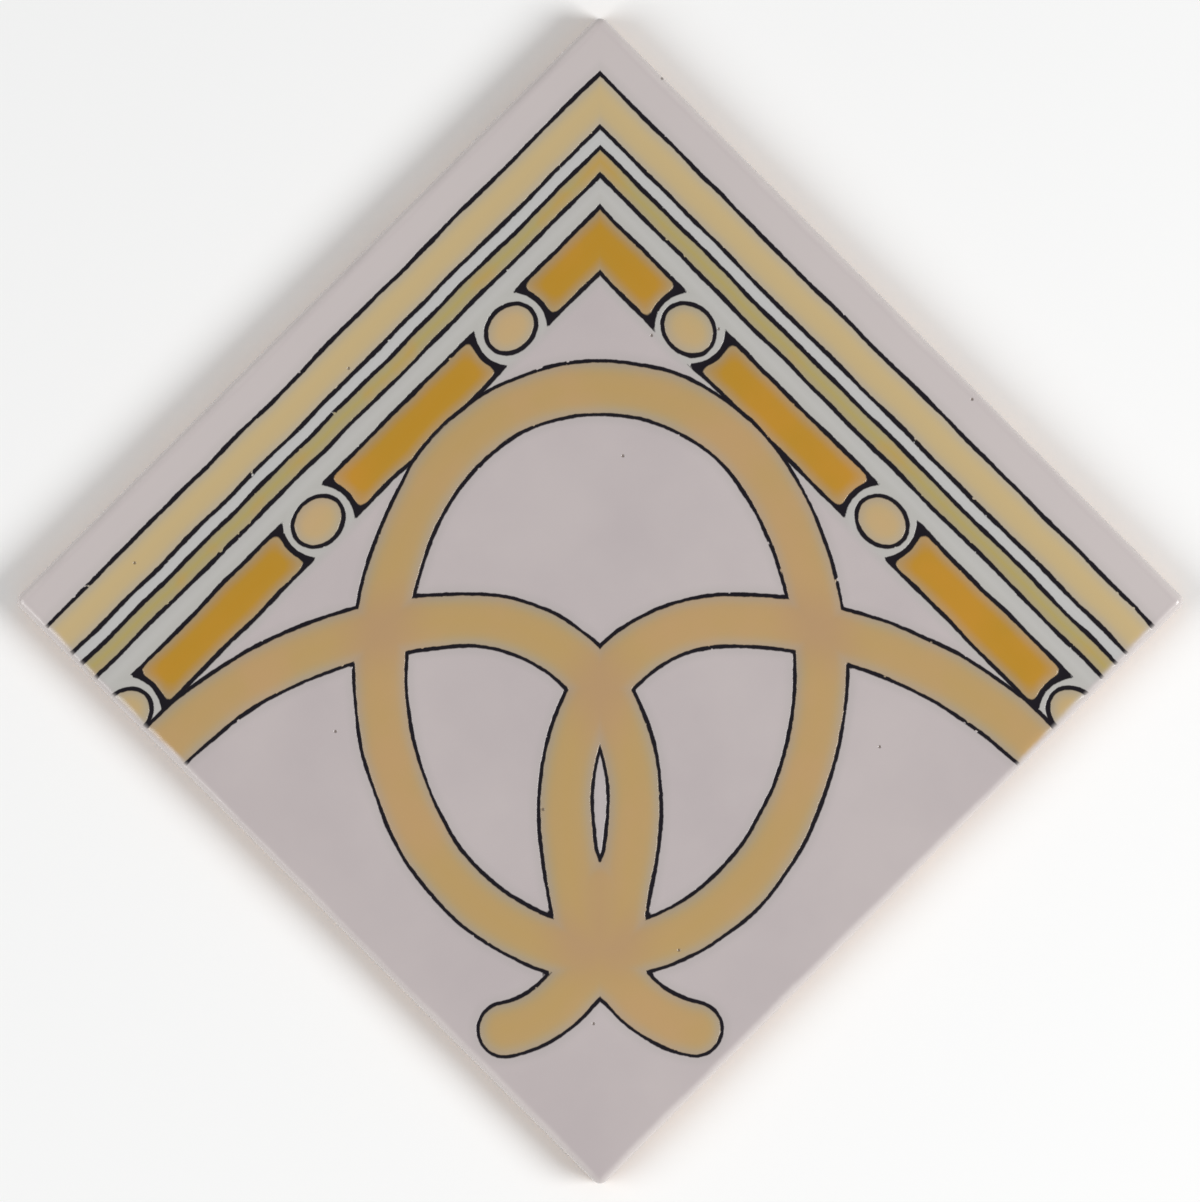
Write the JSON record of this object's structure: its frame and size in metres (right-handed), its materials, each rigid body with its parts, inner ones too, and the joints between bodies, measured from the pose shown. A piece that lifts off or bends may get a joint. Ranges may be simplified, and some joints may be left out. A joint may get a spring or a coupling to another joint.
{
  "type": "corner tile",
  "caption": "Square glazed wall tile with a bead-and-bar border round one corner and an interlaced ribbon ornament in shallow relief, made to turn the corner of a tiled panel.",
  "frame": {"origin": "centre of the tile, on the plane of its back", "axes": "+Z out of the glazed face; +X and +Y towards the tile's outer edges, which the border runs along, so the outer corner is at +X +Y"},
  "size_m": [0.15, 0.15, 0.0083],
  "materials": {
    "glazed_clay": "glossy"
  },
  "bodies": {
    "root": {"corner_tile": "glazed_clay"}
  },
  "joints": []
}
